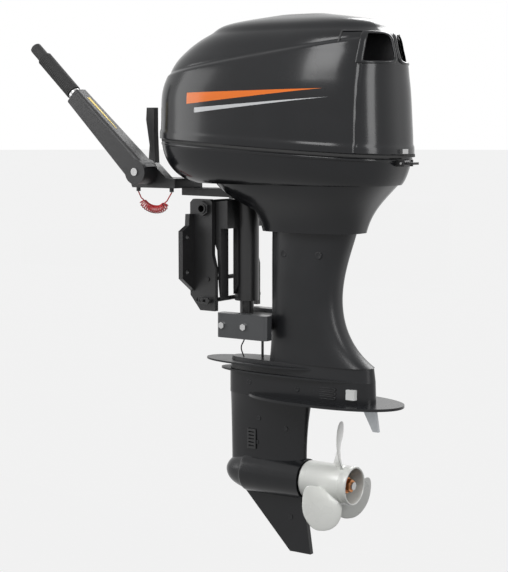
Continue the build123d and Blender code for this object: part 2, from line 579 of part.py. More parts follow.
def flywheel():
    made = rod((CRANK_X, 0, FLYWHEEL_Z), (CRANK_X, 0, FLYWHEEL_Z + 30), FLYWHEEL_R)
    made -= rod((CRANK_X, 0, FLYWHEEL_Z - 1), (CRANK_X, 0, FLYWHEEL_Z + 14), FLYWHEEL_R - 12)
    made += rod((CRANK_X, 0, FLYWHEEL_Z), (CRANK_X, 0, FLYWHEEL_Z + 20), 24)
    return made - rod((CRANK_X, 0, FLYWHEEL_Z - 1), (CRANK_X, 0, FLYWHEEL_Z + 40), 12)


def starter_housing():
    """Recoil starter cover over the flywheel, on three legs that stand on the cylinder block."""
    top = FLYWHEEL_Z + 54
    made = rod((CRANK_X, 0, top - 12), (CRANK_X, 0, top), FLYWHEEL_R - 8)
    made -= rod((CRANK_X, 0, top - 13), (CRANK_X, 0, top - 4), FLYWHEEL_R - 12)
    for x, y in ((CRANK_X + 112, 0), (CRANK_X, -104), (CRANK_X, 104)):
        made += block(min(x, CRANK_X + 78) - 8, x + 8, min(y, y * 0.75) - 8, max(y, y * 0.75) + 8,
                      top - 12, top - 4)
        made += rod((x, y, BLOCK_TOP + SEAT), (x, y, top - 6), 7)
    return made


def side_brackets():
    """Ledges bolted to the block that carry the starter housing's outer legs."""
    return [block(CRANK_X - 14, CRANK_X + 14, *sorted((s * (68 + SEAT), s * 113)), BLOCK_TOP - 14,
                  BLOCK_TOP) for s in (-1, 1)]


def carburettors():
    made = []
    for z in CYLINDER_ZS:
        body = rod((84, 0, z), (158 - SEAT, 0, z), 22) + block(100, 142, -26, 26, z - 42, z + 4)
        made.append(body - rod((83, 0, z), (160, 0, z), 13))
    return made


def intake_silencer():
    made = block(-20, 84 - SEAT, -75, 75, 205, 385, 14)
    return made - block(-16, 80, -71, 71, 209, 381) - rod((70, 0, CYLINDER_ZS[0]),
                                                          (90, 0, CYLINDER_ZS[0]), 15) - rod(
        (70, 0, CYLINDER_ZS[1]), (90, 0, CYLINDER_ZS[1]), 15)


# ---------------------------------------------------------------- tiller and controls
PLATE_TOP = ARM_Z1 + 22
EAR_OUT, EAR_IN = TILLER_Y + TILLER_HALF_WIDTH + RUN, -62.0
PIVOT_R = 9.0
LEVER_X, LEVER_Y, LEVER_Z = -150.0, -34.0, 186.0


def tiller_bracket():
    """Casting on the steering arm: a plate, an ear for the tiller and an ear for the shift lever."""
    made = profile([(-178, PLATE_TOP - 8), (-172, ARM_Z1 + SEAT), (-46, ARM_Z1 + SEAT),
                    (-46, PLATE_TOP), (-178, PLATE_TOP)], EAR_OUT, 18)
    made += profile([(-150, PLATE_TOP), (-148, TILLER_Z + 10), (-136, TILLER_Z + 20),
                     (-112, TILLER_Z + 20), (-70, PLATE_TOP)],
                    EAR_OUT, EAR_IN)
    made += profile([(LEVER_X - 16, PLATE_TOP), (LEVER_X - 10, LEVER_Z + 10), (LEVER_X + 10, LEVER_Z + 10),
                     (LEVER_X + 40, PLATE_TOP)], LEVER_Y + 8, LEVER_Y + 20)
    made -= rod((TILLER_X, EAR_OUT - 1, TILLER_Z), (TILLER_X, EAR_IN + 1, TILLER_Z), PIVOT_R + SEAT)
    return made - rod((LEVER_X, LEVER_Y, LEVER_Z), (LEVER_X, LEVER_Y + 30, LEVER_Z), 5 + SEAT)


def pivot_pins():
    """Shouldered pins for the tiller and the shift lever, pressed into the bracket's ears."""
    tiller = rod((TILLER_X, TILLER_Y - TILLER_HALF_WIDTH - 3, TILLER_Z),
                 (TILLER_X, EAR_IN + 3, TILLER_Z), PIVOT_R)
    lever = rod((LEVER_X, LEVER_Y - 10, LEVER_Z), (LEVER_X, LEVER_Y + 22, LEVER_Z), 5)
    return tiller, lever


TILLER_DIR = Vector(-math.cos(math.radians(TILLER_ANGLE)), 0, math.sin(math.radians(TILLER_ANGLE)))
TILLER_ROOT = Vector(TILLER_X, TILLER_Y, TILLER_Z)


def along(distance):
    """Point on the tiller's centreline, at a distance from its pivot."""
    spot = TILLER_ROOT + TILLER_DIR * distance
    return (spot.X, spot.Y, spot.Z)


def tiller_section(distance, height, width):
    lie = Plane(origin=along(distance), x_dir=(0, 1, 0), z_dir=TILLER_DIR)
    return (lie * RectangleRounded(width, height, 9)).face()


def tiller_arm():
    """Moulded arm from the knuckle to the grip, with a bore for the throttle shaft."""
    width = 2 * TILLER_HALF_WIDTH
    made = loft([tiller_section(-14, 58, width), tiller_section(TILLER_ARM, 42, width - 6)])
    made += rod((TILLER_X, TILLER_Y - TILLER_HALF_WIDTH, TILLER_Z),
                (TILLER_X, TILLER_Y + TILLER_HALF_WIDTH, TILLER_Z), 29)
    made -= rod((TILLER_X, -200, TILLER_Z), (TILLER_X, 0, TILLER_Z), PIVOT_R + SHAFT_FIT)
    return made - rod(along(TILLER_ARM - 120), along(TILLER_ARM + 5), 7 + SHAFT_FIT)


def grip():
    """Twist grip on the throttle shaft."""
    made = rod(along(TILLER_ARM - 118), along(TILLER_ARM + 20), 7)
    made += rod(along(TILLER_ARM + 12), along(TILLER_LENGTH - 42), GRIP_R)
    return made + rod(along(TILLER_LENGTH - 42), along(TILLER_LENGTH), GRIP_R - 4)


def grip_collar():
    """Bright ring pressed on the end of the arm, around the throttle shaft."""
    return rod(along(TILLER_ARM + SEAT), along(TILLER_ARM + 11), 15) - rod(along(TILLER_ARM - 1),
            along(TILLER_ARM + 12), 7 + SHAFT_FIT)


def shift_lever():
    made = profile([(LEVER_X - 12, LEVER_Z - 6), (LEVER_X + 12, LEVER_Z - 6), (LEVER_X + 8, LEVER_Z + 90),
                    (LEVER_X + 8, LEVER_Z + 148), (LEVER_X - 14, LEVER_Z + 148),
                    (LEVER_X - 16, LEVER_Z + 120),
                    (LEVER_X - 6, LEVER_Z + 60)], LEVER_Y - 8, LEVER_Y + 8 - RUN)
    return made - rod((LEVER_X, LEVER_Y - 20, LEVER_Z), (LEVER_X, LEVER_Y + 20, LEVER_Z), 5 + SHAFT_FIT)


# ---------------------------------------------------------------- stop lanyard
LANYARD_Y = -76.0
LANYARD_R, COIL_R = 1.5, 11.0
COIL_ROUTE = [(-158.0, 130.0), (-146.0, 110.0), (-118.0, 98.0), (-90.0, 102.0), (-74.0, 124.0)]   # x, z
ANCHOR_DROP = 10.0


def route_points():
    return [(x, LANYARD_Y, z) for x, z in COIL_ROUTE]


def coil_radii(points):
    """The largest arc at each corner that its two runs allow."""
    radii = []
    for before, here, after in zip(points, points[1:], points[2:]):
        come, go = Vector(*here) - Vector(*before), Vector(*after) - Vector(*here)
        radii.append(0.45 * min(come.length, go.length) / math.tan(math.radians(come.get_angle(go)) / 2))
    return radii


def lanyard_coil():
    points = route_points()
    radii = coil_radii(points)
    print("lanyard coil radii", [round(r) for r in radii])
    path = FilletPolyline(*points, radius=radii)
    start = Plane(origin=points[0], z_dir=Vector(*points[1]) - Vector(*points[0]))
    return sweep(start * Circle(COIL_R), path=path)


def lanyard_tails():
    """Plain ends of the lanyard, from each end of the coil up to its anchor under the bracket."""
    ends = route_points()[0], route_points()[-1]
    outs = Vector(*route_points()[0]) - Vector(*route_points()[1]), Vector(*route_points()[-1]) - Vector(*route_points()[-2])
    tails = []
    for end, out in zip(ends, outs):
        rise = (ARM_Z1 + SEAT - ANCHOR_DROP - end[2]) / out.normalized().Z
        top = Vector(*end) + out.normalized() * rise
        tails.append(rod(end, (top.X, top.Y, top.Z), LANYARD_R))
    return tails


def lanyard_anchors():
    """Small posts under the bracket that hold the lanyard's ends."""
    made = []
    for tail in lanyard_tails():
        spot = tail.bounding_box()
        x = spot.min.X + LANYARD_R if spot.min.X < -120 else spot.max.X - LANYARD_R
        made.append(rod((x, LANYARD_Y, ARM_Z1 + SEAT - ANCHOR_DROP + 0.95), (x, LANYARD_Y, ARM_Z1), 5))
    return made


# ---------------------------------------------------------------- small fittings
ANODE_X0, ANODE_Z0, ANODE_SIDE = 388.0, -306.0, 22.0


def side_anodes():
    """Square zinc plate screwed to each side of the gearcase, above the anti-ventilation plate."""
    room = stack([(CASE_TOP, FOOT_FRONT, FOOT_AFT, LEG_HALF_WIDTH - 4),
                  (PLATE_Z, FOOT_FRONT, FOOT_AFT + 2, LEG_HALF_WIDTH - 4)], -SEAT)
    made = []
    for side in (-1, 1):
        y0, y1 = sorted((side * 20, side * (LEG_HALF_WIDTH - 6)))
        made.append(block(ANODE_X0, ANODE_X0 + ANODE_SIDE, y0, y1, ANODE_Z0, ANODE_Z0 + ANODE_SIDE) - room)
    return made


def mount_bolts():
    """Hexagon bolt heads on the outside of the lower mount covers."""
    made = []
    for side in (-1, 1):
        for x in (STEER_X - 14, STEER_X + 46):
            y = side * (MOUNT_Y + 20 + SEAT)
            flats = Plane(origin=(x, y, (LOWER_Z0 + LOWER_Z1) / 2),
                          z_dir=(0, side, 0)) * RegularPolygon(8, 6)
            made.append(extrude(flats, amount=5, dir=(0, side, 0)))
    return made


def prop_nut():
    x0 = CORE_AFT + SEAT
    flats = Plane(origin=(x0 + 3, 0, PROP_AXIS_Z), z_dir=(1, 0, 0)) * RegularPolygon(15, 6)
    nut = extrude(flats, amount=11, dir=(1, 0, 0)) + rod((x0, 0, PROP_AXIS_Z), (x0 + 3, 0, PROP_AXIS_Z), 18)
    return nut - rod((x0 - 1, 0, PROP_AXIS_Z), (x0 + 30, 0, PROP_AXIS_Z), PROP_SHAFT_R - 2 + SEAT)


def prop_shaft():
    main = rod((BORE_FRONT - 20, 0, PROP_AXIS_Z), (HUB_FRONT + 20, 0, PROP_AXIS_Z), PROP_SHAFT_R)
    return main + rod((HUB_FRONT + 20, 0, PROP_AXIS_Z), (CORE_AFT + 20, 0, PROP_AXIS_Z), PROP_SHAFT_R - 2)


def rubber_bush():
    """Rubber sleeve bonded between the propeller's core and the shaft."""
    made = rod((HUB_FRONT + SEAT, 0, PROP_AXIS_Z), (CORE_AFT, 0, PROP_AXIS_Z), CORE_R - 4 - SEAT)
    made -= rod((HUB_FRONT - 1, 0, PROP_AXIS_Z), (CORE_AFT + 1, 0, PROP_AXIS_Z), PROP_SHAFT_R - 2 + SEAT)
    return made - rod((HUB_FRONT - 1, 0, PROP_AXIS_Z), (HUB_FRONT + 20 + SEAT, 0, PROP_AXIS_Z),
                      PROP_SHAFT_R + SEAT)


def bonding_wire():
    """Short earth lead from the mount cover to the leg's foot."""
    y = -30.0
    points = [(110, y, LOWER_Z0 + 14 - SEAT), (110, y, -196), (98, y, -214), (108, y, FOOT_TOP + 1)]
    path = FilletPolyline(*points, radius=coil_radii(points))
    return sweep(Plane(origin=points[0], z_dir=(0, 0, -1)) * Circle(1.5), path=path)


def shift_rod():
    """Rod from the powerhead's linkage down ahead of the leg into the gearcase."""
    return rod((STEER_X + 44, 0, LOWER_Z0 + 14 - SEAT), (STEER_X + 44, 0, FOOT_TOP + SEAT), 3)


# ---------------------------------------------------------------- write every node
port_bracket, starboard_bracket = clamp_bracket(-1), clamp_bracket(1)
tube, tube_nuts = tilt_tube()
tiller_pin, lever_pin = pivot_pins()
latch_ears, latch_pin = latch_bracket()
tail_front, tail_rear = lanyard_tails()

NODES = {
    "clamp_bracket_port": port_bracket,
    "clamp_bracket_starboard": starboard_bracket,
    "tilt_tube": tube,
    "tilt_tube_nuts": tube_nuts,
    "trim_angle_rod": trim_rod(),
    "bracket_tie_rod": tie_rod(),
    "swivel_bracket": swivel_bracket(),
    "swivel_bushes": swivel_bushes(),
    "steering_yoke": steering_yoke(),
    "lower_yoke": lower_yoke(),
    "lower_mount_covers": mount_covers(),
    "rubber_mounts": rubber_mounts(),
    "mount_bolts": mount_bolts(),
    "upper_case": upper_case(),
    "apron": apron(),
    "bottom_cowl": bottom_cowl(),
    "cowl_seal": seal(),
    "top_cowl": top_cowl(),
    "air_intake_ducts": intake_duct(),
    "latch_catch": latch_hook(),
    "latch_ears": latch_ears,
    "latch_pin": latch_pin,
    "latch_lever": latch_lever(),
    "gearcase": gearcase(),
    "water_inlet_grilles": water_inlets(),
    "trim_tab": trim_tab(),
    "side_anodes": side_anodes(),
    "exhaust_guide": exhaust_guide(),
    "cylinder_block": cylinder_block(),
    "cylinder_head": cylinder_head(),
    "pistons": pistons(),
    "spark_plugs": spark_plugs(),
    "crankshaft": crankshaft(),
    "flywheel": flywheel(),
    "starter_housing": starter_housing(),
    "starter_ledges": side_brackets(),
    "carburettors": carburettors(),
    "intake_silencer": intake_silencer(),
    "driveshaft": driveshaft(),
    "pinion": pinion(),
    "forward_gear": bevel_gear(-1),
    "reverse_gear": bevel_gear(1),
    "bearing_carrier": shaft_piece(CRANK_X + PINION_R + MESH_GAP + 7 + RUN, TORPEDO_AFT, BORE_R - SEAT,
                                   PROP_SHAFT_R + SHAFT_FIT),
    "propeller_shaft": prop_shaft(),
    "thrust_washer": shaft_piece(TORPEDO_AFT + RUN, HUB_FRONT - SEAT, 20, PROP_SHAFT_R + SEAT),
    "propeller": propeller(),
    "propeller_bush": rubber_bush(),
    "propeller_nut": prop_nut(),
    "shift_rod": shift_rod(),
    "earth_lead": bonding_wire(),
    "tiller_bracket": tiller_bracket(),
    "tiller_pivot_pin": tiller_pin,
    "lever_pivot_pin": lever_pin,
    "tiller_arm": tiller_arm(),
    "grip_collar": grip_collar(),
    "throttle_grip": grip(),
    "shift_lever": shift_lever(),
    "lanyard_coil": lanyard_coil(),
    "lanyard_tails": [tail_front, tail_rear],
    "lanyard_anchors": lanyard_anchors(),
}

for name, shapes in NODES.items():
    keep(name, *(shapes if isinstance(shapes, (list, tuple)) else [shapes]))
print(len(NODES), "nodes")
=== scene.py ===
import json
import math

import bmesh
import bpy
import numpy as np
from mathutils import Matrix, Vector
from mathutils.bvhtree import BVHTree


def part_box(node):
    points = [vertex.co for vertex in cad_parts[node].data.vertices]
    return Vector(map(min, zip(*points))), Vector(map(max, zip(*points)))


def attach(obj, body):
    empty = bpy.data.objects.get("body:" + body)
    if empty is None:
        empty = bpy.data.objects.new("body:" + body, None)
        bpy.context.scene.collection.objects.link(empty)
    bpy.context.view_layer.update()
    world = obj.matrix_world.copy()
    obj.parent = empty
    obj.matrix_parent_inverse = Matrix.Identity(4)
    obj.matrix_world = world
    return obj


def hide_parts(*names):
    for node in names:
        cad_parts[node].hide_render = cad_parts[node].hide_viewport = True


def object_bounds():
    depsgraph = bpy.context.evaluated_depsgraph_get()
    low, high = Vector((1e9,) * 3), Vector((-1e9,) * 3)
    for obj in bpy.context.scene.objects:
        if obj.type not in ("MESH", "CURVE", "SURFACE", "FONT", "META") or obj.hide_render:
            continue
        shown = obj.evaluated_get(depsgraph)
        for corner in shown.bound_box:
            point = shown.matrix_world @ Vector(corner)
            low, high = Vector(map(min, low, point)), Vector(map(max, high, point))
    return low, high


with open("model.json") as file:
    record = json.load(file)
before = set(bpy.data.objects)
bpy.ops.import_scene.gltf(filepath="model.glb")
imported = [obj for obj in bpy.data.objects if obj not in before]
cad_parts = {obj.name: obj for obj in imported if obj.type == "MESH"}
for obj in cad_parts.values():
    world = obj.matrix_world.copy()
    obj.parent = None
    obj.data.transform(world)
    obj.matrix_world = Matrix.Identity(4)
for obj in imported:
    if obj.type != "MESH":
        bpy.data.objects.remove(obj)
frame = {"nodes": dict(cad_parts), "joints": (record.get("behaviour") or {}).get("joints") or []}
cad_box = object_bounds()


# ---- Engine cover ----
# A deep cap of moulded fibre-reinforced resin, sprayed in charcoal gloss and
# lacquered. It sits on a rubber seal round the pan and is held by the latch aft.
def finish(name, colour, rough, metal=0.0, coat=0.0, grain=600.0, bump=0.08, mottle=0.12, shine=0.5):
    """A surface whose colour and roughness drift slowly over the piece, with a fine grain in relief."""
    made = bpy.data.materials.new(name)
    made.use_nodes = True
    nodes, links = made.node_tree.nodes, made.node_tree.links
    skin = nodes["Principled BSDF"]
    skin.inputs["Metallic"].default_value = metal
    skin.inputs["Coat Weight"].default_value = coat
    skin.inputs["Coat Roughness"].default_value = 0.08
    skin.inputs["Specular IOR Level"].default_value = shine
    place = nodes.new("ShaderNodeTexCoord")
    drift = nodes.new("ShaderNodeTexNoise")
    drift.inputs["Scale"].default_value = 14.0
    drift.inputs["Detail"].default_value = 5.0
    links.new(place.outputs["Object"], drift.inputs["Vector"])
    tint = nodes.new("ShaderNodeValToRGB")
    tint.color_ramp.elements[0].position = 0.3
    tint.color_ramp.elements[1].position = 0.7
    tint.color_ramp.elements[0].color = (*[c * (1 - mottle) for c in colour], 1)
    tint.color_ramp.elements[1].color = (*[min(1.0, c * (1 + mottle)) for c in colour], 1)
    links.new(drift.outputs["Fac"], tint.inputs["Fac"])
    links.new(tint.outputs["Color"], skin.inputs["Base Color"])
    wear = nodes.new("ShaderNodeMapRange")
    wear.inputs["To Min"].default_value = max(0.03, rough * 0.82)
    wear.inputs["To Max"].default_value = min(1.0, rough * 1.2)
    links.new(drift.outputs["Fac"], wear.inputs["Value"])
    links.new(wear.outputs["Result"], skin.inputs["Roughness"])
    fine = nodes.new("ShaderNodeTexNoise")
    fine.inputs["Scale"].default_value = grain
    fine.inputs["Detail"].default_value = 3.0
    links.new(place.outputs["Object"], fine.inputs["Vector"])
    relief = nodes.new("ShaderNodeBump")
    relief.inputs["Strength"].default_value = bump
    relief.inputs["Distance"].default_value = 0.0004
    links.new(fine.outputs["Fac"], relief.inputs["Height"])
    links.new(relief.outputs["Normal"], skin.inputs["Normal"])
    return made


def coat_nodes(material, *names):
    """Puts one material on each named CAD node."""
    for name in names:
        mesh = frame["nodes"][name].data
        mesh.materials.clear()
        mesh.materials.append(material)


def smooth(at, knots, values):
    """Value at each point of a curve through the knots: a cubic between each two knots.

    Its slope at a knot is the mean of the runs on both sides, where the shorter run counts more.
    """
    knots, values = np.asarray(knots, float), np.asarray(values, float)
    slope = np.gradient(values, knots)
    low = np.clip(np.searchsorted(knots, at, side="right") - 1, 0, len(knots) - 2)
    run = knots[low + 1] - knots[low]
    u = np.clip((at - knots[low]) / run, 0, 1)
    return (values[low] * (2 * u**3 - 3 * u**2 + 1) + values[low + 1] * (3 * u**2 - 2 * u**3)
            + run * slope[low] * (u**3 - 2 * u**2 + u) + run * slope[low + 1] * (u**3 - u**2))


def rounded(wave, power):
    """A sine or cosine raised to a power with its sign kept: below 1, it squares a circle off."""
    return np.sign(wave) * np.abs(wave) ** power


def grid_piece(name, points, wrap=True, shut=False):
    """Puts a grid of points, rows by columns, into a mesh.

    wrap joins the last column to the first, and shut closes each end with a face.
    """
    rows, columns = points.shape[:2]
    index = np.arange(rows * columns).reshape(rows, columns)
    right = np.roll(index, -1, axis=1) if wrap else index[:, 1:]
    left = index if wrap else index[:, :-1]
    faces = np.stack([left[:-1], right[:-1], right[1:], left[1:]], axis=-1).reshape(-1, 4).tolist()
    if shut:
        faces += [index[0][::-1].tolist(), index[-1].tolist()]
    mesh = bpy.data.meshes.new(name)
    mesh.from_pydata(points.reshape(-1, 3).tolist(), [], faces)
    mesh.polygons.foreach_set("use_smooth", np.ones(len(mesh.polygons), bool))
    made = bpy.data.objects.new(name, mesh)
    bpy.context.scene.collection.objects.link(made)
    return made


def dress(piece, material, body):
    """Gives a piece its material and its body."""
    piece.data.materials.append(material)
    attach(piece, body)


(cover_front, _, _), (cover_aft, cover_side, cover_top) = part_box("top_cowl")
cover_height, cover_power = 0.273, 2.8
seam_bow, seam_stern = 0.262, 0.226
cover_rise = np.array([-0.036, 0.0, 0.038, 0.128, 0.188, 0.233, 0.260, cover_height])
cover_rise = cover_rise + cover_top - cover_height
cover_bow = cover_front + np.array([0.0, 0.0, 0.001, 0.010, 0.050, 0.123, 0.195, 0.300])
cover_stern = cover_aft - np.array([0.0, 0.001, 0.003, 0.009, 0.017, 0.040, 0.095, 0.190])
cover_half = cover_side - np.array([0.001, 0.001, 0.002, 0.010, 0.028, 0.054, 0.088, 0.137])


def joint_line(x):
    """Height of the joint between cover and pan, which falls straight from bow to stern."""
    return seam_bow + (x - cover_front) * (seam_stern - seam_bow) / (cover_aft - cover_front)


def cover_skin(turn, height, inset=0.0):
    """Points of the cover: at each height a superellipse between bow and stern, drawn in by inset."""
    bow, stern = smooth(height, cover_rise, cover_bow), smooth(height, cover_rise, cover_stern)
    half = smooth(height, cover_rise, cover_half)
    x = (bow + stern) / 2 + ((stern - bow) / 2 - inset) * rounded(np.cos(turn), 2 / cover_power)
    return x, (half - inset) * rounded(np.sin(turn), 2 / cover_power)


cover_rows, cover_columns = 128, 320
turn = np.linspace(0, 2 * math.pi, cover_columns, endpoint=False)
turn, climb = np.meshgrid(turn, np.linspace(0, 1, cover_rows))
climb = 1 - (1 - climb) ** 1.35
height = np.full_like(turn, 0.25)
inset = np.zeros_like(turn)
# The seam and the shoulder slope with x, and x comes from the height, so five rounds settle them.
# A lip stands out below, a shelf steps in above the shoulder, and two creases are pressed in.
for _ in range(5):
    x, y = cover_skin(turn, height, inset)
    seam = joint_line(x) + 0.003
    height = seam + (cover_top - seam) * climb
    above = height - seam
    lip = 1 / (1 + np.exp(-(above - 0.018) / 0.0012))
    shoulder = 0.417 + x * 0.134
    shelf = 1 / (1 + np.exp(-(height - shoulder) / 0.0012))
    aside = np.abs(y) - 0.03
    fade = np.clip((0.480 - x) / 0.02, 0, 1) * np.clip(aside / 0.05, 0, 1)
    crease = np.exp(-(((height - shoulder) / 0.0035) ** 2)) * fade
    quarter = np.exp(-(((x - 0.452) / 0.0030) ** 2)) * np.clip((0.47 - height) / 0.03, 0, 1)
    quarter = quarter * np.clip(aside / 0.03, 0, 1)
    inset = 0.0022 * lip + 0.0040 * shelf * fade + 0.0016 * crease + 0.0024 * quarter
shell = np.stack([x, y, height], axis=-1)
cap = np.array([[[shell[-1, :, 0].mean(), 0.0, cover_top]]])
crown = [shell[-1:] * 0.55 + cap * 0.45, np.repeat(cap, cover_columns, axis=1)]
cover = grid_piece("engine_cover", np.concatenate([shell, *crown]))

# The two intake openings, as one box in x, distance from the middle, and z.
hole_low, hole_high = np.array([0.449, 0.010, 0.427]), np.array([0.560, 0.109, 0.486])
merge = cover.modifiers.new("close_crown", "WELD")
merge.merge_threshold = 0.00005
middle = np.empty(len(cover.data.polygons) * 3)
cover.data.polygons.foreach_get("center", middle)
middle = middle.reshape(-1, 3)
middle[:, 1] = np.abs(middle[:, 1])
gone = np.all((middle > hole_low) & (middle < hole_high), axis=1)
shape = bmesh.new()
shape.from_mesh(cover.data)
shape.faces.ensure_lookup_table()
bmesh.ops.delete(shape, geom=[shape.faces[i] for i in np.nonzero(gone)[0]], context="FACES")
shape.to_mesh(cover.data)
shape.free()
wall = cover.modifiers.new("wall", "SOLIDIFY")
wall.thickness, wall.offset = 0.0035, -1.0

charcoal = finish("charcoal_lacquer", (0.0085, 0.0090, 0.0105), 0.2,
                  coat=0.08, grain=70.0, bump=0.03, shine=0.3)


def banded(source, name, bands):
    """A copy of a finish with long tapered bands painted on both flanks.

    A band is where a point's height is nearer a sloping line than a half width that shrinks aft.
    """
    made = source.copy()
    made.name = name
    nodes, links = made.node_tree.nodes, made.node_tree.links
    skin = nodes["Principled BSDF"]
    place = nodes.new("ShaderNodeTexCoord")
    split = nodes.new("ShaderNodeSeparateXYZ")
    links.new(place.outputs["Object"], split.inputs[0])
    colour = skin.inputs["Base Color"].links[0].from_socket

    def sum_of(kind, a, b):
        node = nodes.new("ShaderNodeMath")
        node.operation = kind
        for socket, value in zip(node.inputs, (a, b)):
            if isinstance(value, (int, float)):
                socket.default_value = value
            else:
                links.new(value, socket)
        return node.outputs[0]

    for paint, start, end, level, slope, half in bands:
        along = sum_of("DIVIDE", sum_of("SUBTRACT", split.outputs["X"], start), end - start)
        line = sum_of("ADD", sum_of("MULTIPLY", along, slope), level)
        off = sum_of("ABSOLUTE", sum_of("SUBTRACT", split.outputs["Z"], line), 0.0)
        room = sum_of("MULTIPLY", sum_of("SUBTRACT", 1.0, along), half)
        inside = sum_of("LESS_THAN", off, room)
        inside = sum_of("MULTIPLY", inside, sum_of("GREATER_THAN", along, 0.0))
        flank = sum_of("GREATER_THAN", sum_of("ABSOLUTE", split.outputs["Y"], 0.0), 0.09)
        inside = sum_of("MULTIPLY", inside, flank)
        blend = nodes.new("ShaderNodeMix")
        blend.data_type = "RGBA"
        links.new(inside, blend.inputs["Factor"])
        links.new(colour, blend.inputs[6])
        blend.inputs[7].default_value = (*paint, 1)
        colour = blend.outputs[2]
    links.new(colour, skin.inputs["Base Color"])
    return made


# Each band: its paint, start and end in x, height at the start, rise along it, and half width.
cover_paint = banded(charcoal, "charcoal_with_bands", [
    ((0.86, 0.19, 0.02), 0.035, 0.385, 0.352, 0.018, 0.0125),
    ((0.62, 0.63, 0.64), 0.060, 0.400, 0.326, 0.026, 0.0055),
])
dress(cover, cover_paint, "cover")
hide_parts("top_cowl")


# ---- Air intake frames ----
# A raised moulded lip round each intake at the stern, with one upright rib
# of the cover between them. All are moulded as one; the duct behind is black.
intake_y, intake_z, intake_half_y, intake_half_z = 0.0595, 0.4560, 0.0525, 0.0320
frame_width, frame_front = 0.10, 0.4460


def two_turns(along, about):
    """Two angles on a grid: one once along a closed way, and one once round the bar on that way."""
    way = np.linspace(0, 2 * math.pi, along, endpoint=False)
    return np.meshgrid(way, np.linspace(0, 2 * math.pi, about, endpoint=False), indexing="ij")


def closed(ring):
    """The rows of a ring with the first one again at the end, so that its way closes."""
    return np.concatenate([ring, ring[:1]])


def hoop(name, side):
    """A low bar carried round a superellipse in Y and Z, laid on the cover's skin.

    Its power is 2 / 0.4, and it is held aft of the cover's corner.
    """
    way, round_bar = two_turns(96, 12)
    reach = 1 + frame_width * np.cos(round_bar)
    y = intake_y + intake_half_y * rounded(np.cos(way), 0.4) * reach
    z = intake_z + intake_half_z * rounded(np.sin(way), 0.4) * reach
    bow, stern = smooth(z, cover_rise, cover_bow), smooth(z, cover_rise, cover_stern)
    half = smooth(z, cover_rise, cover_half)
    edge = np.clip((frame_front - (bow + stern) / 2) / ((stern - bow) / 2), 0, 0.999)
    widest = half * (1 - edge**cover_power) ** (1 / cover_power)
    y = np.minimum(y, widest - intake_half_y * frame_width * (1 - np.cos(round_bar)))
    share = np.clip(y / half, 0, 0.999)
    x = (bow + stern) / 2 + (stern - bow) / 2 * (1 - share**cover_power) ** (1 / cover_power)
    ring = closed(np.stack([x - 0.0022 + 0.0026 * np.sin(round_bar), side * y, z], axis=-1))
    return grid_piece(name, ring if side > 0 else ring[::-1])


for side, word in ((-1, "port"), (1, "starboard")):
    dress(hoop("intake_frame_" + word, side), charcoal, "cover")
moulded_black = finish("moulded_black", (0.012, 0.012, 0.013), 0.5, grain=1100.0, bump=0.4)
coat_nodes(moulded_black, "air_intake_ducts", "water_inlet_grilles", "intake_silencer",
           "swivel_bushes", "lanyard_anchors", "latch_lever")


# ---- Pan and apron ----
# Two mouldings, lacquered like the cover: the pan carries the seal and the
# apron hides the top of the leg.
coat_nodes(charcoal, "bottom_cowl", "apron")


# ---- Pan rim ----
# A half-round bead moulded along the top edge of the pan, just under the seal,
# that throws water clear of the joint. It is lacquered with the pan.
(pan_front, _, _), (pan_aft, pan_side, _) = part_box("bottom_cowl")
bead_out, bead_up, bead_drop = 0.0022, 0.0036, 0.0085
way, bead = two_turns(360, 14)
middle_x, half_x = (pan_front + pan_aft) / 2, (pan_aft - pan_front) / 2
# The bead follows the cover's superellipse, and its own section is an ellipse.
rim_x = middle_x + (half_x - bead_out + bead_out * np.cos(bead)) * rounded(np.cos(way), 2 / cover_power)
rim_y = (pan_side - bead_out + bead_out * np.cos(bead)) * rounded(np.sin(way), 2 / cover_power)
rim_z = joint_line(rim_x) - bead_drop + bead_up * np.sin(bead)
rim = closed(np.stack([rim_x, rim_y, rim_z], axis=-1))
dress(grid_piece("pan_rim", rim[::-1]), charcoal, "motor")


# ---- Leg and gearcase ----
# Aluminium castings, shot-blasted, primed and sprayed. The gearcase is glossier
# than the leg above it.
leg_paint = finish("leg_satin_paint", (0.0120, 0.0125, 0.0140), 0.34,
                   coat=0.04, grain=420.0, bump=0.16, shine=0.3)
coat_nodes(leg_paint, "upper_case")
gear_paint = finish("gearcase_gloss_paint", (0.0090, 0.0095, 0.0110), 0.24,
                    coat=0.08, grain=260.0, bump=0.10, shine=0.3)
coat_nodes(gear_paint, "gearcase")


# ---- Plugs and bolt heads on the leg ----
# Flush plugs and cap screws that close the leg's drillings. Each is a shallow
# turned head with a rounded rim and a dished centre, painted with the leg.
def wall_of(node):
    """A search tree of a node's faces, to find where its wall is."""
    mesh = frame["nodes"][node].data
    corners = [v.co[:] for v in mesh.vertices]
    return BVHTree.FromPolygons(corners, [tuple(f.vertices) for f in mesh.polygons])


def turned(profile, centre, axis, steps=48):
    """A profile of (along, radius) turned about an axis through the centre, as rows of points."""
    axis = np.asarray(axis, float) / np.linalg.norm(axis)
    across = np.cross(axis, [0.0, 0.0, 1.0] if abs(axis[2]) < 0.9 else [1.0, 0.0, 0.0])
    across /= np.linalg.norm(across)
    other = np.cross(axis, across)
    angle = np.linspace(0, 2 * math.pi, steps, endpoint=False)
    along, radius = np.asarray(profile, float).T
    spoke = np.cos(angle)[:, None] * across + np.sin(angle)[:, None] * other
    return np.asarray(centre) + along[:, None, None] * axis + radius[:, None, None] * spoke[None]


